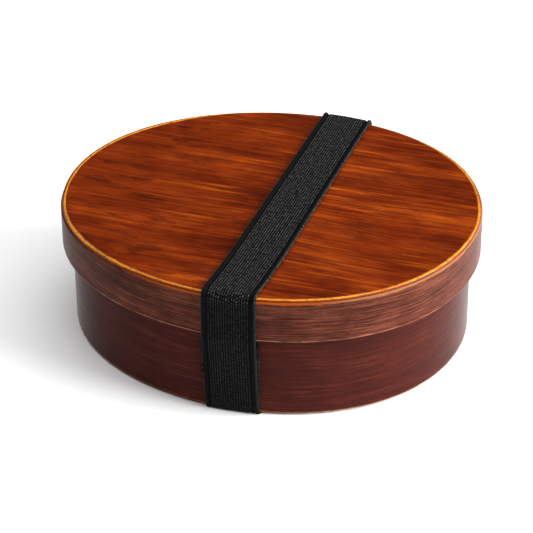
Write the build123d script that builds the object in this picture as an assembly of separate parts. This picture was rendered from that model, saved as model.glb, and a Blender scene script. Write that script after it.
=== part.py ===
from build123d import *
from math import atan2, cos, degrees, hypot, pi, sin
import os

# Oval bentwood lunch box: a stave-bent body, a deep covering lid, a loose
# divider and an elastic band round the short way. Lengths are millimetres.
# X runs along the box, Y across it, Z is up, and the band lies on Z = 0.

# Driving dimensions
HALF_LENGTH = 84.0        # nominal half length of the lid's oval
WIDTH_RATIO = 0.884       # oval width over oval length
BOX_HEIGHT = 52.4         # underside of the base to the top of the lid
LID_HEIGHT = 18.0         # depth of the lid's hoop
WALL = 3.4                # thickness of the bent staves
LID_GAP = 0.7             # gap all round between the lid's hoop and the body
PLATE = 4.0               # thickness of the lid's top and of the base
BAND_WIDTH = 20.8
BAND_THICK = 1.4
BAND_PRESSED = 0.8        # the band's thickness where the box stands on it
BAND_X = 9.7              # centre of the band, off the box's middle
DIVIDER_X = 27.0          # middle of the divider

# The hand-bent oval is a little square at the ends and fuller at one end.
SQUARENESS = 0.0094
FULLER_END = 0.0127
LEAN = 0.0094
OUTLINE_POINTS = 72

# Edges and clearances
LIP_INSET = 0.5           # edge of the lid's board, inside the hoop's outer face
LIP_THICK = 1.1           # the board's lip, which lies on the hoop's top edge
LIP_ROUND = 0.9           # worn edge of the board
HOOP_ROUND = 0.7          # worn outer edge of the hoop under the lip
FOOT_ROUND = 0.9
RIM_ROUND = 0.6
SKIRT_ROUND = 0.4
LID_REST = 0.1            # body rim to the underside of the lid's top
CLEAR = 0.3               # between pieces that move apart
BAND_LIE = 0.1            # top run of the band above the lid

# Lap joints of the staves, sewn with bark, at the back of the box
LAP_ANGLE = 118.0
LAP_GROOVE = 0.5
BARK_LENGTH = 7.0
BARK_HEIGHT = 3.0
BARK_THICK = 0.8
BARK_PROUD = 0.4
BARK_PITCH = 5.6
BODY_STITCHES = 5
LID_STITCHES = 2
BODY_SEW_START = 7.0      # first stitch above the base's underside
LID_SEW_START = 4.0       # first stitch above the skirt's edge

# Divider
DIVIDER_THICK = 4.0
DIVIDER_HEIGHT = 34.0
DIVIDER_ROUND = 1.2
NOTCH_RADIUS = 26.0       # finger notch in the divider's top edge
NOTCH_DEPTH = 7.0

# Sewn join of the band's two ends, on the front side
BAND_SPLIT = 33.5         # height where the part that follows the lid begins
SEW_ROWS = (19.4, 21.7, 28.7, 31.5)
SEW_STITCHES = 6
SEW_PITCH = 2.9
SEW_LENGTH = 2.1
SEW_WIDE = 0.6
SEW_THICK = 0.5
SEW_PROUD = 0.2

# Heights and insets that follow from the above
BASE_Z = BAND_PRESSED
TOP_Z = BASE_Z + BOX_HEIGHT
SKIRT_Z = TOP_Z - LID_HEIGHT
PLATE_Z = TOP_Z - PLATE
LIP_Z = TOP_Z - LIP_THICK
BODY_INSET = WALL + LID_GAP
HALF_WIDTH = HALF_LENGTH * WIDTH_RATIO


def oval_point(turn):
    """Point of the lid's outer oval at a turn in radians, before centring."""
    x = HALF_LENGTH * (cos(turn) - SQUARENESS * cos(3 * turn) - FULLER_END * cos(2 * turn))
    y = HALF_WIDTH * (sin(turn) + LEAN * sin(2 * turn))
    return x, y


def oval_tangent(turn):
    """Unit tangent of the oval, in the direction of growing turn."""
    dx = HALF_LENGTH * (3 * SQUARENESS * sin(3 * turn) + 2 * FULLER_END * sin(2 * turn) - sin(turn))
    dy = HALF_WIDTH * (cos(turn) + 2 * LEAN * cos(2 * turn))
    length = hypot(dx, dy)
    return dx / length, dy / length


def oval_centre():
    """X of the middle of the oval's bounding box."""
    ends = [oval_point(pi * step / 1800)[0] for step in range(3600)]
    return (max(ends) + min(ends)) / 2


CENTRE_X = oval_centre()


def wall_point(turn, inset):
    """Point on the oval moved inward by inset, centred on the origin."""
    x, y = oval_point(turn)
    tx, ty = oval_tangent(turn)
    return x - CENTRE_X - inset * ty, y + inset * tx


def oval_face(inset):
    """Flat face bounded by the oval moved inward by inset."""
    turns = [2 * pi * step / OUTLINE_POINTS for step in range(OUTLINE_POINTS)]
    loop = Edge.make_spline([Vector(*wall_point(turn, inset)) for turn in turns], periodic=True)
    return Face(Wire([loop]))


def oval_block(inset, low, high):
    """Solid with the oval's outline between two heights."""
    return Pos(0, 0, low) * extrude(oval_face(inset), high - low)


def half_width_at(inset):
    """Largest distance of an inset oval from the X axis."""
    return max(wall_point(pi * step / 1800, inset)[1] for step in range(1800))


def edges_at(solid, height, outermost):
    """Outer or inner rim edges of a hoop at one height."""
    level = solid.edges().filter_by_position(Axis.Z, height - 0.01, height + 0.01)
    rims = sorted(level, key=lambda edge: edge.length)
    return rims[-1:] if outermost else rims[:1]


def hoop(inset, low, high):
    """Bent stave: a wall that follows the oval."""
    return oval_block(inset, low, high) - oval_block(inset + WALL, low, high)


def on_wall(inset, height):
    """Location on a wall at the lap, X along the stave and Y into it."""
    turn = LAP_ANGLE * pi / 180
    x, y = wall_point(turn, inset)
    tx, ty = oval_tangent(turn)
    return Pos(x, y, height) * Rot(0, 0, degrees(atan2(ty, tx)))


def bark_stitches(inset, first, count):
    """Row of bark stitches that sew the two ends of a stave together."""
    depth = BARK_THICK / 2 - BARK_PROUD
    strip = Pos(0, depth, 0) * Box(BARK_LENGTH, BARK_THICK, BARK_HEIGHT)
    return [on_wall(inset, first + row * BARK_PITCH) * strip for row in range(count)]


def lap_line(inset, low, high):
    """Shallow groove where the outer end of the stave stops."""
    tall = high - low + 2 * LAP_GROOVE
    slot = Pos(BARK_LENGTH, 0, 0) * Box(LAP_GROOVE, 2 * LAP_GROOVE, tall)
    return on_wall(inset, (low + high) / 2) * slot


def make_body_wall(stitches):
    """Bent wall of the body, with its lap groove and stitch seats."""
    high = PLATE_Z - LID_REST
    wall = hoop(BODY_INSET, BASE_Z, high)
    wall = fillet(edges_at(wall, high, True), RIM_ROUND)
    wall = fillet(edges_at(wall, high, False), RIM_ROUND)
    wall = fillet(edges_at(wall, BASE_Z, True), FOOT_ROUND)
    wall = wall - lap_line(BODY_INSET, BASE_Z, high)
    return wall - stitches


def make_body_base():
    """Oval base set inside the foot of the wall."""
    return oval_block(BODY_INSET + WALL, BASE_Z, BASE_Z + PLATE)


def make_lid_hoop(stitches):
    """Bent hoop of the lid, with its worn upper edge under the board's lip."""
    ring = hoop(0, SKIRT_Z, LIP_Z)
    ring = fillet(edges_at(ring, LIP_Z, True), HOOP_ROUND)
    ring = fillet(edges_at(ring, SKIRT_Z, True), SKIRT_ROUND)
    ring = fillet(edges_at(ring, SKIRT_Z, False), SKIRT_ROUND)
    ring = ring - lap_line(0, SKIRT_Z, LIP_Z)
    return ring - stitches


def make_lid_top():
    """Oval top board let into the lid's hoop, its lip lying on the hoop's top edge."""
    board = oval_block(WALL, PLATE_Z, TOP_Z) + oval_block(LIP_INSET, LIP_Z, TOP_Z)
    return fillet(edges_at(board, TOP_Z, True), LIP_ROUND)


def make_divider():
    """Loose upright board that parts the box in two, with a finger notch."""
    low = BASE_Z + PLATE
    top = low + DIVIDER_HEIGHT
    board = Pos(DIVIDER_X, 0, low + DIVIDER_HEIGHT / 2) * Box(
        DIVIDER_THICK, 2 * HALF_WIDTH, DIVIDER_HEIGHT)
    board = fillet(board.edges().filter_by(Axis.Y).group_by(Axis.Z)[-1], DIVIDER_ROUND)
    notch = Pos(DIVIDER_X, 0, top + NOTCH_RADIUS - NOTCH_DEPTH) * Rot(0, 90, 0) * Cylinder(
        NOTCH_RADIUS, 2 * DIVIDER_THICK)
    return (board - notch) & oval_block(BODY_INSET + WALL + CLEAR, low, top)


def band_profile():
    """Closed section of the band's loop in the YZ plane."""
    foot_y = half_width_at(BODY_INSET) + CLEAR
    side_y = half_width_at(0) + CLEAR
    top_z = TOP_Z + BAND_LIE
    right = [(foot_y, BASE_Z), (side_y, SKIRT_Z), (side_y, top_z)]
    left = [(-y, z) for y, z in reversed(right)]
    inside = make_face(Polyline(*right, *left, close=True))
    outside = offset(inside, BAND_THICK, kind=Kind.ARC)
    return outside - inside


def make_band():
    """Whole elastic band as one loop of webbing, pressed flat under the base."""
    start = BAND_X - BAND_WIDTH / 2
    upright = Plane(origin=(start, 0, 0), x_dir=(0, 1, 0), z_dir=(1, 0, 0))
    return extrude(upright * band_profile(), BAND_WIDTH) & space_above(0)


def band_outer_y(height):
    """Y of the band's outer face on the front side at a height."""
    foot_y = half_width_at(BODY_INSET) + CLEAR
    rise = SKIRT_Z - BASE_Z
    run = half_width_at(0) - half_width_at(BODY_INSET)
    along = (height - BASE_Z) / rise
    return -(foot_y + run * along + BAND_THICK * hypot(rise, run) / rise)


def sewn_rows():
    """Thread stitches of the band's sewn join, lying on its outer face."""
    run = half_width_at(0) - half_width_at(BODY_INSET)
    slope = degrees(atan2(run, SKIRT_Z - BASE_Z))
    first = BAND_X - SEW_PITCH * (SEW_STITCHES - 1) / 2
    thread = Pos(0, SEW_THICK / 2 - SEW_PROUD, 0) * Box(SEW_LENGTH, SEW_THICK, SEW_WIDE)
    stitches = []
    for height in SEW_ROWS:
        for step in range(SEW_STITCHES):
            spot = Pos(first + step * SEW_PITCH, band_outer_y(height), height)
            stitches.append(spot * Rot(slope, 0, 0) * thread)
    return stitches


def space_above(height):
    """Block that holds everything above a height."""
    size = 4 * HALF_LENGTH
    return Pos(0, 0, height + size / 2) * Box(size, size, size)


def save(name, shape):
    """Write one named piece as a STEP file."""
    piece = shape if isinstance(shape, Solid) else Compound(children=list(shape.solids()))
    solids = piece.solids()
    export_step(solids[0] if len(solids) == 1 else piece, os.path.join("parts", name + ".step"))


def main():
    os.makedirs("parts", exist_ok=True)
    body_bark = bark_stitches(BODY_INSET, BASE_Z + BODY_SEW_START, BODY_STITCHES)
    lid_bark = bark_stitches(0, SKIRT_Z + LID_SEW_START, LID_STITCHES)
    thread = sewn_rows()
    band = make_band()
    save("body_wall", make_body_wall(body_bark))
    save("body_base", make_body_base())
    save("body_bark_stitching", Compound(children=body_bark))
    save("lid_hoop", make_lid_hoop(lid_bark))
    save("lid_top", make_lid_top())
    save("lid_bark_stitching", Compound(children=lid_bark))
    save("divider", make_divider())
    save("band_lower", (band - space_above(BAND_SPLIT)) - thread)
    save("band_upper", band & space_above(BAND_SPLIT))
    save("band_thread", Compound(children=thread))


main()
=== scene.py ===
import math

import bmesh
import bpy
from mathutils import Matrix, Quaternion, Vector


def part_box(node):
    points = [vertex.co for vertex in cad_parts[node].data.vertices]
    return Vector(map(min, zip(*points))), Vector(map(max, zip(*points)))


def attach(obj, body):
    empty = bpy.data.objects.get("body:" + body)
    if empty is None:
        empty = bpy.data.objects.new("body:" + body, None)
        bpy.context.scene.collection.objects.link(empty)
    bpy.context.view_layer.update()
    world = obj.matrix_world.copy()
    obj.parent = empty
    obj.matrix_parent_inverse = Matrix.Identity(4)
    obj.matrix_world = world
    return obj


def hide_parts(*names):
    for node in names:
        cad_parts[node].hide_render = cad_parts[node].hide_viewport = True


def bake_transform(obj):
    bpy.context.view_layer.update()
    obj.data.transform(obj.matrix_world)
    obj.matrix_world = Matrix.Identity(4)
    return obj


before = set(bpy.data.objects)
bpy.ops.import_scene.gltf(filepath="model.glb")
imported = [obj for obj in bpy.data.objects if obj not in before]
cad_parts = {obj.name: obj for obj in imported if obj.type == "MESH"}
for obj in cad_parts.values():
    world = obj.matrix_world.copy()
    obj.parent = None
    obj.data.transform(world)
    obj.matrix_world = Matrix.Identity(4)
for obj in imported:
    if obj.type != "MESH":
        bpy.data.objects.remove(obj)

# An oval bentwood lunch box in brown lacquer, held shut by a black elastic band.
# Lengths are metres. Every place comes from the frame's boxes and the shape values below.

MM = 0.001

# The oval of the staves, as the frame's maker drew it
WIDTH_RATIO = 0.884
SQUARENESS = 0.0094
FULLER_END = 0.0127
LEAN = 0.0094
LAP_TURN = math.radians(118)
OVAL_STEPS = 540

# The camera, as the photograph was taken
VIEW_AZIMUTH = 18.43
VIEW_ELEVATION = 30.77
VIEW_DISTANCE = 0.906
VIEW_ROLL = -0.24
LENS = 154.1
SENSOR = 36.0
SHIFT_X = -0.0121
SHIFT_Y = -0.0198

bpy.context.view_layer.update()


def box_of(node):
    """Lowest and highest corner of a CAD node."""
    low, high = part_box(node)
    return Vector(low), Vector(high)


HOOP_LOW, HOOP_HIGH = box_of("lid_hoop")
BOARD_LOW, BOARD_HIGH = box_of("lid_top")
WALL_LOW, WALL_HIGH = box_of("body_wall")
FLOOR_HIGH = box_of("body_base")[1]
BAND_LOW, BAND_HIGH = box_of("band_upper")

LIP_INSET = HOOP_HIGH.x - BOARD_HIGH.x
STAVE = WALL_HIGH.x - FLOOR_HIGH.x
BODY_INSET = HOOP_HIGH.x - WALL_HIGH.x
SKIRT_Z = HOOP_LOW.z
LIP_Z = HOOP_HIGH.z
TOP_Z = BOARD_HIGH.z
BOARD_Z = BOARD_LOW.z
BASE_Z = WALL_LOW.z
RIM_Z = WALL_HIGH.z
BAND_X = (BAND_LOW.x + BAND_HIGH.x) / 2
BAND_WIDTH = BAND_HIGH.x - BAND_LOW.x


# ---------------------------------------------------------------- the oval

def unit_oval(turn):
    """Point of the oval with half length 1, before centring."""
    x = math.cos(turn) - SQUARENESS * math.cos(3 * turn) - FULLER_END * math.cos(2 * turn)
    y = WIDTH_RATIO * (math.sin(turn) + LEAN * math.sin(2 * turn))
    return x, y


def unit_tangent(turn):
    """Unit tangent of the oval, in the direction of growing turn."""
    dx = 3 * SQUARENESS * math.sin(3 * turn) + 2 * FULLER_END * math.sin(2 * turn) - math.sin(turn)
    dy = WIDTH_RATIO * (math.cos(turn) + 2 * LEAN * math.cos(2 * turn))
    length = math.hypot(dx, dy)
    return dx / length, dy / length


END_STEPS = 3600
ENDS = [unit_oval(math.tau * step / END_STEPS)[0] for step in range(END_STEPS)]
HALF_LENGTH = (HOOP_HIGH.x - HOOP_LOW.x) / (max(ENDS) - min(ENDS))
CENTRE_X = HALF_LENGTH * (max(ENDS) + min(ENDS)) / 2


def oval(turn, inset):
    """Point of the lid's oval moved inward by inset."""
    x, y = unit_oval(turn)
    tx, ty = unit_tangent(turn)
    return HALF_LENGTH * x - CENTRE_X - inset * ty, HALF_LENGTH * y + inset * tx


def oval_turns():
    """Turns once round the oval from the lap joint."""
    return [LAP_TURN + math.tau * step / OVAL_STEPS for step in range(OVAL_STEPS)]


def oval_lengths():
    """Distance along the lid's oval at each turn, with the full length last."""
    turns = oval_turns() + [LAP_TURN + math.tau]
    lengths = [0.0]
    for here, after in zip(turns, turns[1:]):
        a = oval(here, 0)
        b = oval(after, 0)
        lengths.append(lengths[-1] + math.dist(a, b))
    return lengths


def oval_y(x, inset, halvings=40):
    """Largest Y of the inset oval at one X, found by halving."""
    low, high = 0.0, math.pi
    for _ in range(halvings):
        middle = (low + high) / 2
        if oval(middle, inset)[0] > x:
            low = middle
        else:
            high = middle
    return oval(low, inset)[1]


# ---------------------------------------------------------------- meshes

def mesh_piece(name, vertices, faces, uvs=None):
    """New smooth-shaded mesh object; uvs holds one pair per face corner."""
    mesh = bpy.data.meshes.new(name)
    mesh.from_pydata(vertices, [], faces)
    if uvs:
        layer = mesh.uv_layers.new(name="lengths")
        for corner, uv in enumerate(uvs):
            layer.data[corner].uv = uv
    return shown(name, mesh)


def shown(name, mesh):
    """Smooth-shaded object of a mesh, linked to the scene."""
    mesh.shade_smooth()
    piece = bpy.data.objects.new(name, mesh)
    bpy.context.scene.collection.objects.link(piece)
    return piece


def built_piece(name, build):
    """New object from a bmesh, which is freed."""
    mesh = bpy.data.meshes.new(name)
    build.to_mesh(mesh)
    build.free()
    return shown(name, mesh)


def rounded_section(corners):
    """Closed section from (inset, z, radius) corners, each rounded by an arc."""
    points = []
    count = len(corners)
    for index, (inset, z, radius) in enumerate(corners):
        here = Vector((inset, z))
        before = (Vector(corners[index - 1][:2]) - here).normalized()
        after = (Vector(corners[(index + 1) % count][:2]) - here).normalized()
        points += corner_arc(here, before, after, radius)
    return points


ARC_STEPS = 8


def corner_arc(here, before, after, radius, steps=ARC_STEPS):
    """Points of the arc that rounds one corner between two directions."""
    if radius == 0:
        return [here]
    half = before.angle(after) / 2
    reach = radius / math.tan(half)
    centre = here + (before + after).normalized() * (radius / math.sin(half))
    start = here + before * reach - centre
    stop = here + after * reach - centre
    sweep = start.angle_signed(stop)
    points = []
    for step in range(steps + 1):
        turned = start.copy()
        angle = -sweep * step / steps
        turned.x = start.x * math.cos(angle) - start.y * math.sin(angle)
        turned.y = start.x * math.sin(angle) + start.y * math.cos(angle)
        points.append(centre + turned)
    return points


def split_long_sides(points, longest=2.0 * MM):
    """Adds points so that no side of a closed section is longer than given."""
    result = []
    for here, after in zip(points, points[1:] + points[:1]):
        parts = max(1, math.ceil((after - here).length / longest))
        result += [here.lerp(after, part / parts) for part in range(parts)]
    return result


def hoop_piece(name, corners, outer_relief, height_at=None):
    """Stave bent round the oval. UVs are metres along the stave and up its section."""
    section = split_long_sides(rounded_section(corners))
    rows = len(section)
    turns = oval_turns()
    lengths = oval_lengths()
    climbs = [0.0]
    for here, after in zip(section, section[1:] + section[:1]):
        climbs.append(climbs[-1] + (after - here).length)
    vertices = []
    for turn, along in zip(turns, lengths):
        for inset, z in section:
            x, y = oval(turn, inset + outer_relief(along, inset))
            vertices.append((x, y, height_at(turn, z) if height_at else z))
    faces, uvs = [], []
    for step in range(OVAL_STEPS):
        for row in range(rows):
            a = step * rows + row
            b = step * rows + (row + 1) % rows
            c = ((step + 1) % OVAL_STEPS) * rows + (row + 1) % rows
            d = ((step + 1) % OVAL_STEPS) * rows + row
            faces.append((a, b, c, d))
            uvs += [(lengths[step], climbs[row]), (lengths[step], climbs[row + 1]),
                    (lengths[step + 1], climbs[row + 1]), (lengths[step + 1], climbs[row])]
    return mesh_piece(name, vertices, faces, uvs)


# ---------------------------------------------------------------- the wooden pieces

HOOP_ROUND = 0.7 * MM         # outer roundover of the hoop's top
BOARD_ROUND = 0.85 * MM       # worn edge of the board's lip
JOINT_LINE = 0.15 * MM        # height of the dark glue line under the lip
SKIRT_ROUND = 0.45 * MM
RIM_ROUND = 0.6 * MM
FOOT_ROUND = 0.9 * MM
JOINT_EDGE = 0.3 * MM
LAP_GROOVE = 0.35 * MM
LAP_REACH = 9.0 * MM          # stretch over which the stave's outer end stands proud


def lap_relief(along, inset):
    """How far the outer skin sinks just past the lap's end, fading back along the stave."""
    if inset > BODY_INSET + HOOP_ROUND or along > LAP_REACH:
        return 0.0
    return LAP_GROOVE * (1 - along / LAP_REACH) ** 2


WORN_TURN = math.radians(203)     # middle of the stretch where the lid's edge is worn lowest
WORN_REACH = math.radians(66)
WORN_DROP = 1.5 * MM
WORN_WIDE = 3.0 * MM


def worn_drop(turn):
    """How much lower the lid's worn edge lies at a turn: most at the box's left end."""
    away = abs((turn - WORN_TURN + math.pi) % math.tau - math.pi)
    if away > WORN_REACH:
        return 0.0
    return WORN_DROP * math.cos(away / WORN_REACH * math.pi / 2) ** 2


def hoop_height(turn, z):
    """Height of a point of the lid's hoop, whose top follows the worn edge down."""
    return z - worn_drop(turn) * (z - SKIRT_Z) / (LIP_Z - SKIRT_Z)


def board_height(turn, inset, z):
    """Height of a point of the lid's board: its edge rounds off further where it is worn."""
    if z == BOARD_Z:
        return z
    share = 1.0
    if z > LIP_Z + JOINT_LINE:
        inward = min(max((inset - LIP_INSET) / WORN_WIDE, 0.0), 1.0)
        share = 1 - math.sqrt(1 - (1 - inward) ** 2)
    return z - worn_drop(turn) * share


def make_lid_hoop(material):
    """The lid's bent hoop, with its worn upper edge under the board's lip."""
    corners = [(0, SKIRT_Z, SKIRT_ROUND), (0, LIP_Z, HOOP_ROUND), (STAVE, LIP_Z, 0),
               (STAVE, SKIRT_Z, SKIRT_ROUND)]
    piece = hoop_piece("lid_hoop_wood", corners, lap_relief, hoop_height)
    return dress(piece, "lid", "lid_hoop", material)


def make_body_wall(material):
    """The bent wall of the body."""
    inside = BODY_INSET + STAVE
    corners = [(BODY_INSET, BASE_Z, FOOT_ROUND), (BODY_INSET, RIM_Z, RIM_ROUND),
               (inside, RIM_Z, RIM_ROUND), (inside, BASE_Z, JOINT_EDGE)]
    piece = hoop_piece("body_wall_wood", corners, lap_relief)
    return dress(piece, "box", "body_wall", material)


def dress(piece, body, node, material):
    """Sets what a piece rides on, hides the node it stands for and gives it its material."""
    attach(piece, body)
    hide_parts(node)
    piece.data.materials.append(material)
    return piece


FLAT_RINGS = (30, 20, 12, 8, 5.5, 4, 3, 2.4, 2.0, 1.7, 1.4, 1.15, 1.0)     # mm inside the lip


def board_section():
    """Inset and height of the board's rings, from near the middle over the edge to below."""
    rings = [(LIP_INSET + inset * MM, TOP_Z) for inset in FLAT_RINGS]
    for step in range(ARC_STEPS + 1):
        angle = math.pi / 2 * step / ARC_STEPS
        rings.append((LIP_INSET + BOARD_ROUND * (1 - math.sin(angle)),
                      TOP_Z - BOARD_ROUND * (1 - math.cos(angle))))
    under = LIP_Z + JOINT_LINE
    return rings + [(LIP_INSET, under), (LIP_INSET + HOOP_ROUND, under),
                    (LIP_INSET + HOOP_ROUND, LIP_Z), (STAVE, LIP_Z), (STAVE, BOARD_Z)]


def edge_distances(rings):
    """Distance of each ring from the lip's lower edge, measured over the board's surface."""
    lowest = rings.index((LIP_INSET, LIP_Z + JOINT_LINE))
    distances = [0.0] * len(rings)
    for ring in range(lowest - 1, -1, -1):
        distances[ring] = distances[ring + 1] + math.dist(rings[ring], rings[ring + 1])
    return distances


def make_lid_board(material):
    """The oval top board, in rings. UVs are the distance from its edge and the length along."""
    rings = board_section()
    edges = edge_distances(rings)
    turns = oval_turns()
    lengths = oval_lengths()
    count = len(turns)
    vertices = [(0, 0, TOP_Z)]
    for inset, z in rings:
        vertices += [(*oval(turn, inset), board_height(turn, inset, z)) for turn in turns]
    faces, uvs = [], []
    for step in range(count):
        after = (step + 1) % count
        here, there = lengths[step], lengths[step + 1]
        faces.append((0, 1 + step, 1 + after))
        uvs += [(HALF_LENGTH, here), (edges[0], here), (edges[0], there)]
        for ring in range(len(rings) - 1):
            a = 1 + ring * count
            b = a + count
            faces.append((a + step, b + step, b + after, a + after))
            uvs += [(edges[ring], here), (edges[ring + 1], here),
                    (edges[ring + 1], there), (edges[ring], there)]
    last = 1 + (len(rings) - 1) * count
    faces.append(tuple(last + step for step in reversed(range(count))))
    uvs += [(HALF_LENGTH, 0)] * count
    piece = mesh_piece("lid_board_wood", vertices, faces, uvs)
    return dress(piece, "lid", "lid_top", material)


BARK_LENGTH = 7.0 * MM
BARK_HEIGHT = 3.0 * MM
BARK_PITCH = 5.6 * MM
BARK_PROUD = 0.45 * MM
BARK_SUNK = 0.3 * MM
BARK_CROWN = 0.35            # share of its rise that a strip loses at its long edges
BARK_WAIST = 0.12            # share of its height that a strip loses at its ends
BARK_COLUMNS = 15
BARK_ROWS = 9


def bark_strip(mesh, z, inset):
    """Adds one stitch of bark that crowns a little and dives into the stave at both ends."""
    corners = []
    for column in range(BARK_COLUMNS):
        across = -1 + 2 * column / (BARK_COLUMNS - 1)
        turn = LAP_TURN + across * BARK_LENGTH / 2 / HALF_LENGTH
        narrow = 1 - BARK_WAIST * across ** 4
        line = []
        for row in range(BARK_ROWS):
            up = -1 + 2 * row / (BARK_ROWS - 1)
            crown = (1 - across ** 6) * (1 - BARK_CROWN * up ** 4)
            rise = -BARK_SUNK + (BARK_PROUD + BARK_SUNK) * crown
            x, y = oval(turn, inset - rise)
            line.append(mesh.verts.new((x, y, z + up * narrow * BARK_HEIGHT / 2)))
        corners.append(line)
    for here, after in zip(corners, corners[1:]):
        for row in range(BARK_ROWS - 1):
            mesh.faces.new((here[row], after[row], after[row + 1], here[row + 1]))
    close_bark_strip(mesh, corners)


def close_bark_strip(mesh, corners):
    """Adds the sides and the back of one stitch of bark."""
    back = []
    for corner in (corners[0][0], corners[-1][0], corners[-1][-1], corners[0][-1]):
        place = corner.co
        inward = Vector((place.x, place.y, 0)).normalized() * BARK_SUNK
        back.append(mesh.verts.new(place - inward))
    rim = [[line[0] for line in corners], list(corners[-1]), [line[-1] for line in corners][::-1],
           list(reversed(corners[0]))]
    for side, edge in enumerate(rim):
        mesh.faces.new(list(reversed(edge)) + [back[side], back[(side + 1) % 4]])
    mesh.faces.new(list(reversed(back)))


def make_bark(name, node, body, inset, material):
    """Row of bark stitches that sews a stave's lap joint, where the frame has it."""
    low, high = box_of(node)
    count = round((high.z - low.z - BARK_HEIGHT) / BARK_PITCH) + 1
    mesh = bmesh.new()
    for row in range(count):
        bark_strip(mesh, low.z + BARK_HEIGHT / 2 + row * BARK_PITCH, inset)
    bmesh.ops.recalc_face_normals(mesh, faces=mesh.faces)
    return dress(built_piece(name, mesh), body, node, material)


# ---------------------------------------------------------------- the band

BAND_BASE = 1.0 * MM         # thickness of the webbing between ribs
RIB_COUNT = 16
RIB_ZONE = 0.76              # share of the width that the ribs take
RIB_HIGH = 0.28 * MM
KNIT_PITCH = 0.9 * MM        # length of one knitted loop along a rib
ROLL_RADIUS = 0.85 * MM      # rolled edges
BAND_CLEAR = 0.25 * MM
TOP_BEND = 1.7 * MM
FOOT_BEND = 1.0 * MM
SKIRT_BEND = 3.0 * MM
BEND_STEPS = 12
RUN_STEPS = (44, 26, 110, 26, 44, 110)     # points along each straight run of the loop
RIB_STEPS = 6
INNER_SHARES = (0.9, 0.6, 0.3, 0.0, -0.3, -0.6, -0.9)
PRESS_REACH = 5 * MM         # height over which the pressed webbing thickens again
FRONT_DRIFT = -1.1 * MM      # how far the webbing lies to the left on the front side
FOOT_DRIFT = -0.4 * MM       # more of it towards the foot
DRIFT_START = 30 * MM        # distance in front of the middle where it begins


def band_line(x):
    """Inner line of the band's loop at one place across it, as (y, z) points."""
    foot = oval_y(x, BODY_INSET) + BAND_CLEAR
    side = oval_y(x, 0) + BAND_CLEAR
    top = TOP_Z + BAND_CLEAR / 2
    back = [(foot, BASE_Z, FOOT_BEND), (side, SKIRT_Z, SKIRT_BEND), (side, top, TOP_BEND)]
    corners = back + [(-y, z, bend) for y, z, bend in reversed(back)]
    arcs = []
    for index, (y, z, bend) in enumerate(corners):
        here = Vector((y, z))
        before = (Vector(corners[index - 1][:2]) - here).normalized()
        after = (Vector(corners[(index + 1) % len(corners)][:2]) - here).normalized()
        arcs.append(corner_arc(here, before, after, bend, BEND_STEPS))
    points = []
    for arc, following, steps in zip(arcs, arcs[1:] + arcs[:1], RUN_STEPS):
        points += arc
        points += [arc[-1].lerp(following[0], part / steps) for part in range(1, steps)]
    return points


def band_section():
    """Section across the band: (x share from -1 to 1, height above the inner line)."""
    roll = ROLL_RADIUS / (BAND_WIDTH / 2)
    outer = rolled_edge(roll - 1, roll)
    for rib in range(RIB_COUNT):
        for part in range(RIB_STEPS):
            share = (rib + part / RIB_STEPS) / RIB_COUNT
            lift = abs(math.sin(math.pi * part / RIB_STEPS))
            outer.append((-RIB_ZONE + 2 * RIB_ZONE * share, BAND_BASE + RIB_HIGH * lift))
    outer.append((RIB_ZONE, BAND_BASE))
    outer += rolled_edge(1 - roll, roll)
    return outer + [(share, 0.0) for share in INNER_SHARES]


def rolled_edge(middle, roll):
    """Section points over one rolled edge, from left to right."""
    points = []
    for step in range(ARC_STEPS + 1):
        angle = math.pi - math.pi * step / ARC_STEPS
        points.append((middle + roll * math.cos(angle), ROLL_RADIUS * (1 + math.sin(angle))))
    return points


def smooth(value, low, high):
    """Smooth step from 0 at low to 1 at high."""
    share = min(max((value - low) / (high - low), 0.0), 1.0)
    return share * share * (3 - 2 * share)


def pressed(height):
    """Share of its thickness that the webbing keeps at a height: the box stands on it."""
    full = BAND_BASE + RIB_HIGH
    return BASE_Z / full + (1 - BASE_Z / full) * smooth(height, BASE_Z, BASE_Z + PRESS_REACH)


def front_drift(point):
    """How far the webbing lies to the left on the front side, where it sits a little askew."""
    front = HALF_LENGTH * WIDTH_RATIO - BODY_INSET
    share = min(max((-point.x - DRIFT_START) / (front - DRIFT_START), 0.0), 1.0) ** 3
    return share * (FRONT_DRIFT + FOOT_DRIFT * smooth(TOP_Z - point.y, 0, TOP_Z))


def blend_with_band(piece):
    """Bakes a piece of the webbing's placement into its mesh."""
    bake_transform(piece)


def make_band(material):
    """The woven elastic band: one closed loop of ribbed webbing with rolled edges, and a dark slab
    behind its front run that is painted shade.
    """
    section = band_section()
    half = BAND_WIDTH / 2
    lines = [band_line(BAND_X + share * half) for share, _ in section]
    count = len(lines[0])
    rows = len(section)
    vertices, faces, uvs = [], [], []
    for index in range(count):
        for line, (share, height) in zip(lines, section):
            along = (line[(index + 1) % count] - line[index - 1]).normalized()
            normal = Vector((along.y, -along.x))
            point = line[index] + normal * height * pressed(line[index].y)
            x = BAND_X + share * half + front_drift(line[index])
            vertices.append((x, point.x, max(point.y, 0.0)))
    middle = lines[rows // 2]
    lengths = [0.0]
    for here, after in zip(middle, middle[1:] + middle[:1]):
        lengths.append(lengths[-1] + (after - here).length)
    for index in range(count):
        after = (index + 1) % count
        for row in range(rows):
            following = (row + 1) % rows
            faces.append((index * rows + row, index * rows + following,
                          after * rows + following, after * rows + row))
            here_x = section[row][0] * half
            next_x = section[following][0] * half
            uvs += [(here_x, lengths[index]), (next_x, lengths[index]),
                    (next_x, lengths[index + 1]), (here_x, lengths[index + 1])]
    # Painted shade: a dark slab behind the front run
    add_shade_slab(vertices, faces, uvs)
    piece = mesh_piece("elastic_band", vertices, faces, uvs)
    blend_with_band(piece)
    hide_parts("band_lower", "band_upper")
    piece.data.materials.append(material)
    return piece


# A dark slab behind the band's front run: painted shade in the gap between the band and the body's
# wall
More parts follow.
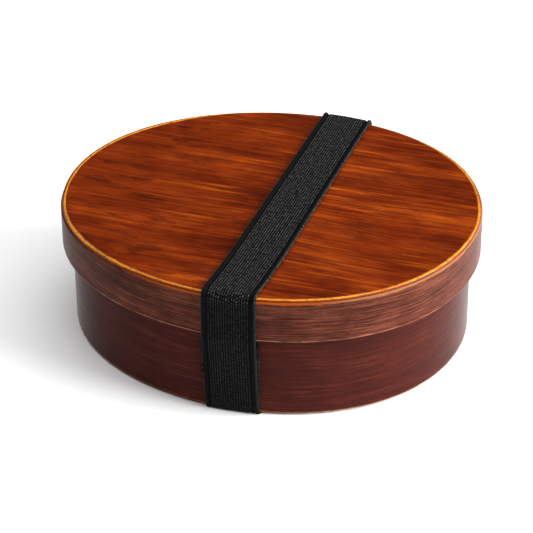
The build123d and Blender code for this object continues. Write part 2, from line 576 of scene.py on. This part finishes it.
SHADE_SLAB_THICK = 0.6 * MM
SHADE_SLAB_GAP = 0.15 * MM     # between it and the body's wall
SHADE_SLAB_LOW = BASE_Z + 1.5 * MM
SHADE_SLAB_HIGH = SKIRT_Z - 0.3 * MM
SHADE_SLAB_SHARES = (-0.5, 1.0)     # its two edges, as shares of the band's half width
SHADE_SLAB_STEPS = 16


def add_shade_slab(vertices, faces, uvs):
    """Adds a dark slab of webbing behind the front run down to the foot: painted shade in the gap
    between the band and the body.
    """
    steps = SHADE_SLAB_STEPS
    half = BAND_WIDTH / 2
    left, right = SHADE_SLAB_SHARES
    start = len(vertices)
    for depth in (SHADE_SLAB_GAP, SHADE_SLAB_GAP + SHADE_SLAB_THICK):
        for column in range(steps + 1):
            x = BAND_X + half * (left + (right - left) * column / steps)
            y = -oval_y(x, BODY_INSET) - depth
            for row in range(steps + 1):
                z = SHADE_SLAB_LOW + (SHADE_SLAB_HIGH - SHADE_SLAB_LOW) * row / steps
                vertices.append((x + FRONT_DRIFT + FOOT_DRIFT, y, z))
    for quad in slab_faces(start, steps):
        faces.append(quad)
        uvs += [(half, vertices[corner][2]) for corner in quad]


def slab_faces(start, steps):
    """Faces of a closed slab whose two layers are square grids of points, column by column."""
    column_step = steps + 1
    layer = column_step ** 2
    last = steps * column_step
    quads = []
    for column in range(steps):
        for row in range(steps):
            a = start + column * column_step + row
            b = a + column_step
            quads.append((a, a + 1, b + 1, b))
            quads.append((a + layer, b + layer, b + layer + 1, a + layer + 1))
    for step in range(steps):
        a = start + step
        b = a + last
        quads.append((a, a + layer, a + layer + 1, a + 1))
        quads.append((b, b + 1, b + layer + 1, b + layer))
        a = start + step * column_step
        b = a + column_step
        quads.append((a, b, b + layer, a + layer))
        quads.append((a + steps, a + steps + layer, b + steps + layer, b + steps))
    return quads


SEW_SHARES = (0.03, 0.21, 0.75, 0.97)     # heights of the sewn rows over the stitched patch
THREAD_RADIUS = 0.26 * MM
THREAD_REACH = 1.1 * MM      # past the band's edge
THREAD_START = 0.6 * MM      # inside the band's edge
THREAD_DEPTH = 0.7 * MM      # in front of the hoop's face
THREAD_SPREAD = 0.25 * MM    # of the two ends of a row, from its middle
THREAD_BENDS = (0.5, 0.9)    # mm that an end rises or falls, in turn from row to row
THREAD_STEPS = 8
THREAD_SIDES = 8


def make_thread_ends(material):
    """Short ends of the thread that sews the loop, curling out of the band's left edge."""
    low, high = box_of("band_thread")
    mesh = bmesh.new()
    for row, share in enumerate(SEW_SHARES):
        z = low.z + share * (high.z - low.z)
        bend = THREAD_BENDS[row % 2] * MM
        for end in (-1, 1):
            add_thread_end(mesh, z + end * THREAD_SPREAD, end * bend)
    piece = built_piece("band_thread_ends", mesh)
    blend_with_band(piece)
    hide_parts("band_thread")
    piece.data.materials.append(material)


def add_thread_end(mesh, z, bend):
    """Adds one curved, tapering thread end."""
    rings = []
    for step in range(THREAD_STEPS + 1):
        share = step / THREAD_STEPS
        out = BAND_WIDTH / 2 - THREAD_START + (THREAD_REACH + THREAD_START) * share
        x = BAND_X - out + FRONT_DRIFT
        y = -oval_y(x, 0) - THREAD_DEPTH
        height = z + bend * share * share
        radius = THREAD_RADIUS * (1 - share ** 3 / 2)
        ring = []
        for side in range(THREAD_SIDES):
            angle = math.tau * side / THREAD_SIDES
            ring.append(mesh.verts.new((x, y + radius * math.cos(angle),
                                        height + radius * math.sin(angle))))
        rings.append(ring)
    for first, second in zip(rings, rings[1:]):
        for side in range(THREAD_SIDES):
            after = (side + 1) % THREAD_SIDES
            mesh.faces.new((first[side], first[after], second[after], second[side]))
    mesh.faces.new(rings[0][::-1])
    mesh.faces.new(rings[-1])


# ---------------------------------------------------------------- materials

class Pattern:
    """Noise with so many waves in a metre along each direction, and its detail and roughness."""

    def __init__(self, waves, detail=3.0, rough=0.5):
        self.waves = waves
        self.detail = detail
        self.rough = rough


class Tree:
    """Short way to build one material out of nodes. Values may be sockets or constants."""

    def __init__(self, name):
        self.material = bpy.data.materials.new(name)
        self.material.use_nodes = True
        self.tree = self.material.node_tree
        self.shader = self.tree.nodes["Principled BSDF"]

    def feed(self, socket, value):
        """Links a socket, or sets a constant."""
        if isinstance(value, bpy.types.NodeSocket):
            self.tree.links.new(value, socket)
        elif socket.type == "RGBA" and len(value) == 3:
            socket.default_value = (*value, 1)
        else:
            socket.default_value = value

    def node(self, kind, inputs=(), **settings):
        """New node with its settings, and inputs as (name or index, value) pairs."""
        node = self.tree.nodes.new(kind)
        for name, value in settings.items():
            setattr(node, name, value)
        for name, value in inputs:
            self.feed(node.inputs[name], value)
        return node

    def place(self):
        """The piece's own coordinates, in metres."""
        return self.node("ShaderNodeTexCoord").outputs["Object"]

    def lengths(self):
        """The piece's UVs, which are lengths in metres."""
        return self.node("ShaderNodeUVMap", uv_map="lengths").outputs["UV"]

    def parts(self, vector):
        """X, Y and Z of a vector."""
        return self.node("ShaderNodeSeparateXYZ", [(0, vector)]).outputs

    def math(self, operation, a, b=0.0):
        """One sum of two values."""
        return self.node("ShaderNodeMath", [(0, a), (1, b)], operation=operation).outputs[0]

    def joined(self, x, y, z=0.0):
        """Vector made of three values."""
        return self.node("ShaderNodeCombineXYZ", [(0, x), (1, y), (2, z)]).outputs[0]

    def scaled(self, vector, scale, shift):
        """Vector times scale plus shift."""
        return self.node("ShaderNodeVectorMath", [(0, vector), (1, scale), (2, shift)],
                         operation="MULTIPLY_ADD").outputs[0]

    def noise(self, vector, pattern, shift=(0, 0, 0)):
        """Noise from 0 to 1. The shift keeps patterns from lining up with each other."""
        spread = self.scaled(vector, pattern.waves, shift)
        inputs = [("Vector", spread), ("Scale", 1.0), ("Detail", pattern.detail),
                  ("Roughness", pattern.rough)]
        return self.node("ShaderNodeTexNoise", inputs).outputs["Fac"]

    def distance(self, vector, point):
        """Distance of a vector from a fixed point."""
        offset = self.node("ShaderNodeVectorMath", [(0, vector), (1, point)],
                           operation="SUBTRACT").outputs[0]
        return self.node("ShaderNodeVectorMath", [(0, offset)], operation="LENGTH").outputs["Value"]

    def swing(self, value, amount):
        """A 0 to 1 value moved to lie about 0 and scaled."""
        return self.math("MULTIPLY", self.math("SUBTRACT", value, 0.5), amount)

    def step(self, value, low, high, to_low=0.0, to_high=1.0):
        """Smooth step of a value between two limits."""
        inputs = [(0, value), (1, low), (2, high), (3, to_low), (4, to_high)]
        return self.node("ShaderNodeMapRange", inputs,
                         interpolation_type="SMOOTHSTEP").outputs[0]

    def ramp(self, value, stops):
        """Colours along a value, as (place, colour) stops."""
        node = self.node("ShaderNodeValToRGB", [(0, value)])
        points = node.color_ramp.elements
        while len(points) < len(stops):
            points.new(0.5)
        for point, (place, colour) in zip(points, stops):
            point.position = place
            point.color = (*colour, 1)
        return node.outputs["Color"]

    def mix(self, share, a, b):
        """Mixes two colours."""
        inputs = [(0, share), (6, a), (7, b)]
        return self.node("ShaderNodeMix", inputs, data_type="RGBA").outputs[2]

    def product(self, *values):
        """Product of two or more values."""
        result = values[0]
        for value in values[1:]:
            result = self.math("MULTIPLY", result, value)
        return result

    def bump(self, height, distance, strength, normal=None):
        """Normal that follows a height map whose full range is so many metres."""
        inputs = [("Height", height), ("Distance", distance), ("Strength", strength)]
        if normal:
            inputs.append(("Normal", normal))
        return self.node("ShaderNodeBump", inputs).outputs["Normal"]

    def finish(self, colour, roughness, normal=None, constants=()):
        """Feeds the shader, with (socket, value) constants, and returns the material."""
        self.feed(self.shader.inputs["Base Color"], colour)
        self.feed(self.shader.inputs["Roughness"], roughness)
        if normal:
            self.feed(self.shader.inputs["Normal"], normal)
        for name, value in constants:
            self.shader.inputs[name].default_value = value
        return self.material


# Thin lacquers with little shine except at a grazing angle
BOARD_SHINE = [("Specular IOR Level", 0.16)]
HOOP_SHINE = [("Specular IOR Level", 0.03), ("Sheen Weight", 0.16), ("Sheen Roughness", 0.3)]
BODY_SHINE = [("Specular IOR Level", 0.02), ("Sheen Weight", 0.32), ("Sheen Roughness", 0.3)]
BARK_SHINE = [("Specular IOR Level", 0.2)]
ELASTIC_SHINE = [("Specular IOR Level", 0.03), ("Sheen Weight", 0.045), ("Sheen Roughness", 0.35)]
PAPER_SHINE = [("Specular IOR Level", 0.0)]

# Linear colours
FLAME = (0.52, 0.110, 0.004)
AMBER = (0.38, 0.066, 0.002)
ORANGE = (0.200, 0.025, 0.0006)
RUSSET = (0.115, 0.0115, 0.0004)
UMBER = (0.046, 0.0042, 0.0003)
# Gold of the board's worn edge, lightened in part into a painted highlight
GOLD = (0.56, 0.205, 0.011)
BARE_GOLD_AND_HIGHLIGHT = (0.80, 0.30, 0.022)
# Dark of the lap joints and the pin knot, also painted as shade in the groove under the board's lip
JOINT_DARK = (0.018, 0.004, 0.002)
# Painted highlights: along the body's foot, on the hoop's top round at the right end and along the
# hoop's skirt edge
FOOT_HIGHLIGHT = (0.34, 0.10, 0.025)
TOP_ROUND_HIGHLIGHT = (0.32, 0.125, 0.050)
SKIRT_EDGE_HIGHLIGHT = (0.36, 0.14, 0.08)
LACQUER_RUN = (0.34, 0.062, 0.005)
HOOP_LIGHT = (0.178, 0.054, 0.029)
HOOP_BROWN = (0.073, 0.0185, 0.0105)
HOOP_DARK = (0.018, 0.0055, 0.0045)
BODY_RED = (0.088, 0.0190, 0.0115)
BODY_BROWN = (0.048, 0.0094, 0.0064)
BODY_DARK = (0.030, 0.008, 0.007)
BARK_DARK = (0.030, 0.008, 0.005)
BARK_RED = (0.15, 0.040, 0.020)
BARK_PALE = (0.30, 0.14, 0.07)
YARN_DARK = (0.0010, 0.0010, 0.0011)
YARN_LIGHT = (0.0045, 0.0045, 0.005)
YARN_GLINT = (0.105, 0.102, 0.100)
PAPER_WHITE = (0.97, 0.97, 0.97)

# Patterns of the lid's board, first those of its grain
LID_SWAY = Pattern((9, 14, 0), detail=1.0)
LID_BROAD = Pattern((8, 105, 1), detail=4.0, rough=0.6)
LID_STREAK = Pattern((17, 430, 1), detail=5.0, rough=0.7)
LID_FIBRE = Pattern((70, 2300, 1), rough=0.6)
LID_CLOUD = Pattern((26, 62, 0), detail=5.0, rough=0.62)
LID_CALM = Pattern((14, 22, 0), detail=1.0)
LID_LIVELY = Pattern((11, 20, 0), detail=1.0)
LID_FLAME = Pattern((20, 420, 1), rough=0.55)
LID_RINGS = Pattern((9, 240, 1), detail=2.0)
LID_PORES = Pattern((60, 2300, 1), detail=2.0)
LID_BLOTCH = Pattern((55, 165, 1), detail=5.0, rough=0.65)
RIM_RAGGED = Pattern((900, 150, 1), detail=4.0, rough=0.7)
RIM_SPECKS = Pattern((1500, 420, 1))
RIM_FADED = Pattern((1, 34, 1))

# Patterns of the staves, the inner boards and the bark
STAVE_SWAY = Pattern((11, 20, 1), detail=2.0)
STAVE_BROAD = Pattern((12, 300, 1), detail=4.0, rough=0.6)
STAVE_STREAK = Pattern((42, 1900, 1), detail=5.0, rough=0.72)
STAVE_FIBRE = Pattern((260, 4600, 1), detail=2.0)
STAVE_MOTTLE = Pattern((75, 90, 1), detail=4.0, rough=0.6)
HOOP_RAGGED = Pattern((160, 900, 1), detail=4.0, rough=0.7)
BODY_RAGGED = Pattern((120, 700, 1), detail=4.0, rough=0.7)
BARK_LINES = Pattern((300, 300, 2600), rough=0.6)
BARK_SPOTS = Pattern((900, 900, 1500), detail=2.0)

# Patterns of the webbing
KNIT_JITTER = Pattern((620, 620, 1), detail=2.0)
KNIT_YARN = Pattern((1500, 1500, 1), rough=0.7)
KNIT_GLINT = Pattern((700, 700, 1), rough=0.75)

# Wear of the board's edge, with its painted highlight and painted shade. Pairs run from none to
# full, in metres from the lip's lower edge.
RIM_WANDER = 0.9 * MM
DULL_RIM = (2.3 * MM, 1.3 * MM)
MATT_RIM = (2.4 * MM, 1.4 * MM)
GOLD_INNER = (1.65 * MM, 1.25 * MM)
GOLD_OUTER = (0.50 * MM, 0.85 * MM)
JOINT_SHADE = (0.28 * MM, 0.10 * MM)
GOLD_IN_LEFT = 1.4 * MM      # how much further in the gold lies round the back of this end
GOLD_IN_RIGHT = 0.7 * MM

# The board's one small knot, and where it fades in, in metres from its middle
PIN_KNOT = (-0.0684, 0.0091, TOP_Z)
PIN_KNOT_EDGE = (1.1 * MM, 0.4 * MM)

# Stretches of the box, from none to full, along it or, at the back, across it
BLOTCHED_LEFT = (-0.01, -0.06)
DULL_LEFT = (-0.035, -0.075)
BARE_AND_LIT_LEFT = (-0.02, -0.06)
GOLD_IN_LEFT_END = (-0.03, -0.065)
GOLD_IN_LEFT_BACK = (-0.045, -0.005)
GOLD_IN_RIGHT_END = (0.03, 0.06)
GOLD_IN_RIGHT_BACK = (0.0, 0.03)
SHADED_GROOVE_RIGHT = (0.04, 0.065)
LACQUERED_FRONT = (-0.05, -0.02)
HIGHLIT_RIGHT_END = (0.03, 0.055)

# Wear and painted highlights of the staves. Pairs run from none to full, in metres of height.
HOOP_WANDER = 2.2 * MM
TOP_HIGHLIGHT_LEVELS = (LIP_Z - 1.1 * MM, LIP_Z - 0.5 * MM)
RUN_WEAR = (LIP_Z - 0.95 * MM, LIP_Z - 0.55 * MM)
SKIRT_HIGHLIGHT_LEVELS = (SKIRT_Z + 0.75 * MM, SKIRT_Z + 0.15 * MM)
BODY_WANDER = 2.4 * MM
FOOT_HIGHLIGHT_LEVELS = (BASE_Z + 1.3 * MM, BASE_Z + 0.2 * MM)
LAP_EDGE = (1.0 * MM, 0.5 * MM)     # before the stave's end


def lid_board_material():
    """Amber lacquer over straight grain that runs along the box, worn to gold at the edge, the gold
    partly a painted highlight.
    """
    t = Tree("amber_lacquered_board")
    place = t.place()
    axes = t.parts(place)
    sway = t.noise(place, LID_SWAY, (3.1, 0.4, 0))
    grain = t.joined(axes[0], t.math("ADD", axes[1], t.product(sway, 0.010)))
    streak = t.noise(grain, LID_STREAK, (4.7, 9.1, 0))
    fibre = t.noise(grain, LID_FIBRE, (1.9, 5.3, 0))
    cloud = t.noise(place, LID_CLOUD, (7.7, 1.2, 0))
    tone = board_tone(t, place, grain, streak, fibre, cloud)
    colour = t.ramp(tone, [(0.0, UMBER), (0.30, RUSSET), (0.66, ORANGE), (1.0, AMBER)])
    colour = grain_lines(t, grain, colour)
    lively = t.step(t.noise(place, LID_LIVELY, (5.2, 0.7, 0)), 0.42, 0.62)
    flame = t.step(t.noise(grain, LID_FLAME, (6.1, 3.4, 0)), 0.56, 0.72)
    colour = t.mix(t.product(flame, lively, 0.55), colour, FLAME)
    dull_end = t.step(axes[0], *DULL_LEFT, 0.0, 0.35)
    colour = rim_wear_and_painted_light(t, t.mix(dull_end, colour, RUSSET))
    matt = t.step(t.parts(t.lengths())[0], *MATT_RIM, 0.0, 0.35)
    rough = t.math("ADD", t.step(cloud, 0.3, 0.7, 0.20, 0.30), matt)
    normal = t.bump(streak, 0.10 * MM, 0.6)
    normal = t.bump(fibre, 0.03 * MM, 0.6, normal)
    return t.finish(colour, rough, normal, BOARD_SHINE)


def board_tone(t, place, grain, streak, fibre, cloud):
    """How light the board's grain is, from 0 to 1, calmer in some regions than in others."""
    broad = t.noise(grain, LID_BROAD, (0.7, 2.3, 0))
    calm = t.step(t.noise(place, LID_CALM, (2.2, 6.1, 0)), 0.35, 0.65, 0.55, 1.10)
    tone = t.math("ADD", t.swing(broad, 0.60), t.swing(streak, 0.90))
    tone = t.math("ADD", t.product(tone, calm), t.swing(fibre, 0.40))
    tone = t.math("ADD", tone, t.swing(cloud, 0.80))
    return t.step(tone, -0.34, 0.40)


def grain_lines(t, grain, colour):
    """Adds thin dark growth lines, short pores, dark blotches and one small pin knot."""
    away = t.math("ABSOLUTE", t.swing(t.noise(grain, LID_RINGS, (2.6, 8.8, 0)), 1.0))
    line = t.step(away, 0.030, 0.004)
    colour = t.mix(t.product(line, 0.50), colour, UMBER)
    pores = t.step(t.noise(grain, LID_PORES, (8.3, 0.9, 0)), 0.58, 0.70)
    colour = t.mix(t.product(pores, 0.5), colour, UMBER)
    blotch = t.step(t.noise(grain, LID_BLOTCH, (3.3, 7.2, 0)), 0.50, 0.66)
    left = t.step(t.parts(grain)[0], *BLOTCHED_LEFT, 0.40, 1.0)
    colour = t.mix(t.product(blotch, left), colour, UMBER)
    knot = t.step(t.distance(t.place(), PIN_KNOT), *PIN_KNOT_EDGE)
    return t.mix(t.product(knot, 0.85), colour, JOINT_DARK)


def rim_wear_and_painted_light(t, colour):
    """Adds the board's worn edge: a dull orange round, a broken gold line that is partly worn wood
    and partly a painted highlight, and a dark line under the lip that is painted shade.
    """
    edge = t.parts(t.lengths())[0]
    axes = t.parts(t.place())
    left = t.product(t.step(axes[1], *GOLD_IN_LEFT_BACK), t.step(axes[0], *GOLD_IN_LEFT_END))
    right = t.product(t.step(axes[1], *GOLD_IN_RIGHT_BACK), t.step(axes[0], *GOLD_IN_RIGHT_END))
    ragged = t.noise(t.lengths(), RIM_RAGGED)
    reach = t.math("ADD", edge, t.swing(ragged, RIM_WANDER))
    reach = t.math("SUBTRACT", reach, t.product(left, GOLD_IN_LEFT))
    reach = t.math("SUBTRACT", reach, t.product(right, GOLD_IN_RIGHT))
    colour = t.mix(t.product(t.step(reach, *DULL_RIM), 0.55), colour, ORANGE)
    specks = t.step(t.noise(t.lengths(), RIM_SPECKS, (3, 1, 0)), 0.56, 0.64)
    faded = t.step(t.noise(t.lengths(), RIM_FADED, (5, 4, 0)), 0.36, 0.56, 0.70, 1.0)
    whole = t.math("SUBTRACT", 1.0, t.product(specks, 0.8))
    # The gold line: worn wood, partly a painted highlight on the eased edge
    gold = t.product(t.step(reach, *GOLD_INNER), t.step(reach, *GOLD_OUTER), faded, whole)
    bare_gold_and_highlight = t.mix(t.step(axes[0], *BARE_AND_LIT_LEFT), GOLD, BARE_GOLD_AND_HIGHLIGHT)
    colour = t.mix(gold, colour, bare_gold_and_highlight)
    # Painted shade in the groove under the lip, strongest towards the right end
    groove_shade = t.step(axes[0], *SHADED_GROOVE_RIGHT, 0.0, 0.95)
    return t.mix(t.product(t.step(edge, *JOINT_SHADE), groove_shade), colour, JOINT_DARK)


def stave_colours(t, light, brown, dark, seed):
    """Grain that runs along a stave: colour, and two heights for its bump."""
    along = t.lengths()
    axes = t.parts(along)
    sway = t.noise(along, STAVE_SWAY, (seed, 0.3, 0))
    grain = t.joined(axes[0], t.math("ADD", axes[1], t.product(sway, 0.006)), seed)
    broad = t.noise(grain, STAVE_BROAD, (seed, 1.3, 0))
    streak = t.noise(grain, STAVE_STREAK, (2.2, seed, 0))
    fibre = t.noise(grain, STAVE_FIBRE, (seed, 6.1, 0))
    mottle = t.noise(along, STAVE_MOTTLE, (seed, 2.7, 0))
    tone = t.math("ADD", t.product(broad, 0.50), t.product(streak, 1.25))
    tone = t.math("ADD", tone, t.product(fibre, 0.35))
    tone = t.math("ADD", tone, t.product(mottle, 0.34))
    colour = t.ramp(t.step(tone, 0.94, 1.54), [(0.0, dark), (0.5, brown), (1.0, light)])
    end = oval_lengths()[-1]
    lap = t.step(axes[0], end - LAP_EDGE[0], end - LAP_EDGE[1])
    return t.mix(t.product(lap, 0.85), colour, JOINT_DARK), streak, fibre


def lid_hoop_material():
    """Brown lacquered stave with clear grain, with a painted highlight on its top round at the
    right end and a pale painted highlight along its skirt.
    """
    t = Tree("brown_lacquered_hoop")
    colour, streak, fibre = stave_colours(t, HOOP_LIGHT, HOOP_BROWN, HOOP_DARK, 5.0)
    axes = t.parts(t.place())
    ragged = t.noise(t.lengths(), HOOP_RAGGED, (1, 2, 0))
    level = t.math("ADD", axes[2], t.swing(ragged, HOOP_WANDER))
    # Painted highlight on the hoop's top round, at the right end only
    lit_right_end = t.step(axes[0], *HIGHLIT_RIGHT_END)
    top = t.step(level, *TOP_HIGHLIGHT_LEVELS, 0.0, 0.7)
    colour = t.mix(t.product(top, lit_right_end), colour, TOP_ROUND_HIGHLIGHT)
    run = t.step(level, *RUN_WEAR, 0.0, 0.9)
    lacquered = t.product(t.step(axes[0], *LACQUERED_FRONT), t.math("SUBTRACT", 1.0, lit_right_end))
    colour = t.mix(t.product(run, lacquered), colour, LACQUER_RUN)
    # Pale painted highlight along the skirt's rounded lower edge
    colour = t.mix(t.product(t.step(level, *SKIRT_HIGHLIGHT_LEVELS), 0.7), colour, SKIRT_EDGE_HIGHLIGHT)
    normal = t.bump(streak, 0.08 * MM, 0.6)
    normal = t.bump(fibre, 0.05 * MM, 0.6, normal)
    return t.finish(colour, t.step(streak, 0.3, 0.7, 0.36, 0.50), normal, HOOP_SHINE)


def body_material():
    """Dark red-brown lacquer with faint grain, with an orange painted highlight along its foot."""
    t = Tree("dark_lacquered_body")
    colour, streak, fibre = stave_colours(t, BODY_RED, BODY_BROWN, BODY_DARK, 11.0)
    ragged = t.noise(t.lengths(), BODY_RAGGED, (4, 7, 0))
    level = t.math("ADD", t.parts(t.place())[2], t.swing(ragged, BODY_WANDER))
    # Orange painted highlight along the foot
    colour = t.mix(t.product(t.step(level, *FOOT_HIGHLIGHT_LEVELS), 0.6), colour, FOOT_HIGHLIGHT)
    normal = t.bump(streak, 0.04 * MM, 0.5)
    normal = t.bump(fibre, 0.03 * MM, 0.5, normal)
    return t.finish(colour, t.step(streak, 0.3, 0.7, 0.26, 0.36), normal, BODY_SHINE)


def waves_along(axis, along, across):
    """Waves in a metre for grain that runs along one axis."""
    return tuple(along if place == axis else across for place in range(3))


def inner_board_material(name, light, brown, dark, axis):
    """Lacquered board with its grain along one axis: the base and the divider."""
    t = Tree(name)
    place = t.place()
    broad_grain = Pattern(waves_along(axis, 12, 170), detail=4.0, rough=0.6)
    fine_grain = Pattern(waves_along(axis, 40, 900), detail=4.0, rough=0.6)
    broad = t.noise(place, broad_grain, (1.1, 0.2, 3.3))
    streak = t.noise(place, fine_grain, (0.4, 2.2, 1.3))
    tone = t.math("ADD", broad, t.product(streak, 0.8))
    colour = t.ramp(t.step(tone, 0.62, 1.25), [(0.0, dark), (0.5, brown), (1.0, light)])
    normal = t.bump(streak, 0.06 * MM, 0.6)
    return t.finish(colour, t.step(streak, 0.3, 0.7, 0.30, 0.42), normal)


def bark_material():
    """Shiny dark cherry bark with fine level lines."""
    t = Tree("cherry_bark_strip")
    lines = t.noise(t.place(), BARK_LINES)
    spots = t.noise(t.place(), BARK_SPOTS, (2, 2, 2))
    colour = t.ramp(t.step(lines, 0.35, 0.68), [(0.0, BARK_DARK), (1.0, BARK_RED)])
    colour = t.mix(t.product(t.step(spots, 0.62, 0.70), 0.5), colour, BARK_PALE)
    normal = t.bump(lines, 0.08 * MM, 0.7)
    return t.finish(colour, t.step(lines, 0.3, 0.7, 0.30, 0.45), normal, BARK_SHINE)


KNIT_SLANT = 0.6             # loops that a rib's chain shifts by across the rib
KNIT_LOOSE = 1.8             # loops that a chain wanders by along the webbing
RIB_FLANK = (0.36, 0.08)     # from the dark valley to the crest, in ribs from the crest
RIBBED_EDGE = (0.395 * BAND_WIDTH, 0.38 * BAND_WIDTH)
ROLL_EDGE = (0.465 * BAND_WIDTH, 0.485 * BAND_WIDTH)
GLINT_DIMMED_DOWN_SIDES = (TOP_Z - 3 * MM, TOP_Z)     # painted highlight, dimmer down the sides, where less light falls, to full on the top


def knitted_loops(t, axes):
    """Chains of knitted loops down each rib, as dots from 0 to 1, from the cloth's axes."""
    across = t.math("DIVIDE", axes[0], BAND_WIDTH * RIB_ZONE / RIB_COUNT)
    beside = t.math("FRACT", across)
    crest = t.step(t.math("ABSOLUTE", t.math("SUBTRACT", beside, 0.5)), *RIB_FLANK)
    shuffle = t.node("ShaderNodeTexWhiteNoise", [("W", t.math("FLOOR", across))],
                     noise_dimensions="1D").outputs["Value"]
    along = t.math("ADD", t.math("DIVIDE", axes[1], KNIT_PITCH), shuffle)
    along = t.math("ADD", along, t.product(beside, KNIT_SLANT))
    jitter = t.noise(t.lengths(), KNIT_JITTER, (2, 8, 0))
    along = t.math("ADD", along, t.product(jitter, KNIT_LOOSE))
    loop = t.math("SINE", t.product(along, math.tau))
    return t.product(t.step(loop, -0.5, 0.8), crest)


def band_material():
    """Black knitted elastic: chains of loops down each rib, dull with small painted highlights,
    dimmer down its sides.
    """
    t = Tree("black_ribbed_elastic")
    cloth = t.lengths()
    axes = t.parts(cloth)
    dots = knitted_loops(t, axes)
    yarn = t.noise(cloth, KNIT_YARN)
    glint = t.step(t.noise(cloth, KNIT_GLINT, (5, 5, 0)), 0.34, 0.66)
    off_middle = t.math("ABSOLUTE", axes[0])
    inside = t.step(off_middle, *RIBBED_EDGE)
    rolled = t.step(off_middle, *ROLL_EDGE, 0.0, 0.30)
    # The glints are painted highlights on the rib crests and the rolled edges
    bright = t.math("ADD", t.product(dots, glint, inside), t.product(rolled, glint))
    bright = t.product(bright, t.step(t.parts(t.place())[2], *GLINT_DIMMED_DOWN_SIDES, 0.42, 1.0))
    height = t.math("ADD", t.product(dots, inside, 0.8), t.product(yarn, 0.35))
    colour = t.mix(t.step(yarn, 0.35, 0.75), YARN_DARK, YARN_LIGHT)
    colour = t.mix(bright, colour, YARN_GLINT)
    return t.finish(colour, 0.6, t.bump(height, 0.25 * MM, 0.8), ELASTIC_SHINE)


# ---------------------------------------------------------------- floor, light, camera

FLOOR_HALF = 6.0


def floor_material():
    """White paper sweep."""
    return Tree("white_paper").finish(PAPER_WHITE, 0.95, constants=PAPER_SHINE)


def make_floor():
    """Pale floor under the box."""
    far = FLOOR_HALF
    corners = [(-far, -far, 0), (far, -far, 0), (far, far, 0), (-far, far, 0)]
    piece = mesh_piece("floor", corners, [(0, 1, 2, 3)])
    piece.data.materials.append(floor_material())


def make_camera():
    """Camera where the photograph was taken from."""
    azimuth = math.radians(VIEW_AZIMUTH)
    elevation = math.radians(VIEW_ELEVATION)
    back = Vector((math.sin(azimuth) * math.cos(elevation),
                   -math.cos(azimuth) * math.cos(elevation), math.sin(elevation)))
    target = Vector((-CENTRE_X, 0, (BASE_Z + TOP_Z) / 2))
    data = bpy.data.cameras.new("camera")
    data.lens = LENS
    data.sensor_width = SENSOR
    data.shift_x = SHIFT_X
    data.shift_y = SHIFT_Y
    camera = bpy.data.objects.new("camera", data)
    camera.location = target + back * VIEW_DISTANCE
    camera.rotation_mode = "QUATERNION"
    roll = Quaternion((0, 0, 1), math.radians(VIEW_ROLL))
    camera.rotation_quaternion = (-back).to_track_quat("-Z", "Y") @ roll
    bpy.context.scene.collection.objects.link(camera)
    bpy.context.scene.camera = camera


def area_light(name, place, aim, size, power):
    """Soft square light aimed at a point."""
    data = bpy.data.lights.new(name, "AREA")
    data.size = size
    data.energy = power
    lamp = bpy.data.objects.new(name, data)
    lamp.location = place
    lamp.rotation_mode = "QUATERNION"
    lamp.rotation_quaternion = (Vector(aim) - Vector(place)).to_track_quat("-Z", "Y")
    bpy.context.scene.collection.objects.link(lamp)


WORLD_GREY = 0.06
LIT_POINT = (0, 0, 0.03)
SOFTBOXES = [("overhead", (0.15, 0.08, 1.6), 2.6, 46),      # name, place, size, watts
             ("right_side", (1.47, 0.10, 0.46), 1.2, 72)]


def make_lights():
    """Large softboxes overhead and to the right, in a dark studio."""
    for name, place, size, power in SOFTBOXES:
        area_light(name, place, LIT_POINT, size, power)
    world = bpy.data.worlds.new("studio")
    world.use_nodes = True
    background = world.node_tree.nodes["Background"].inputs
    background["Color"].default_value = (1, 1, 1, 1)
    background["Strength"].default_value = WORLD_GREY
    bpy.context.scene.world = world
    bpy.context.scene.view_settings.view_transform = "Standard"


# ---------------------------------------------------------------- the whole scene

def main():
    """Builds every piece with its material, then the floor, the camera and the lights."""
    lid_wood = lid_hoop_material()
    body_wood = body_material()
    bark = bark_material()
    make_lid_hoop(lid_wood)
    make_lid_board(lid_board_material())
    make_body_wall(body_wood)
    make_bark("lid_bark_strips", "lid_bark_stitching", "lid", 0, bark)
    make_bark("body_bark_strips", "body_bark_stitching", "box", BODY_INSET, bark)
    elastic = band_material()
    make_band(elastic)
    make_thread_ends(elastic)
    base = inner_board_material("lacquered_base", BODY_RED, BODY_BROWN, BODY_DARK, 0)
    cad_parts["body_base"].data.materials[0] = base
    divider = inner_board_material("lacquered_divider", HOOP_LIGHT, HOOP_BROWN, HOOP_DARK, 1)
    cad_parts["divider"].data.materials[0] = divider
    make_floor()
    make_camera()
    make_lights()


main()
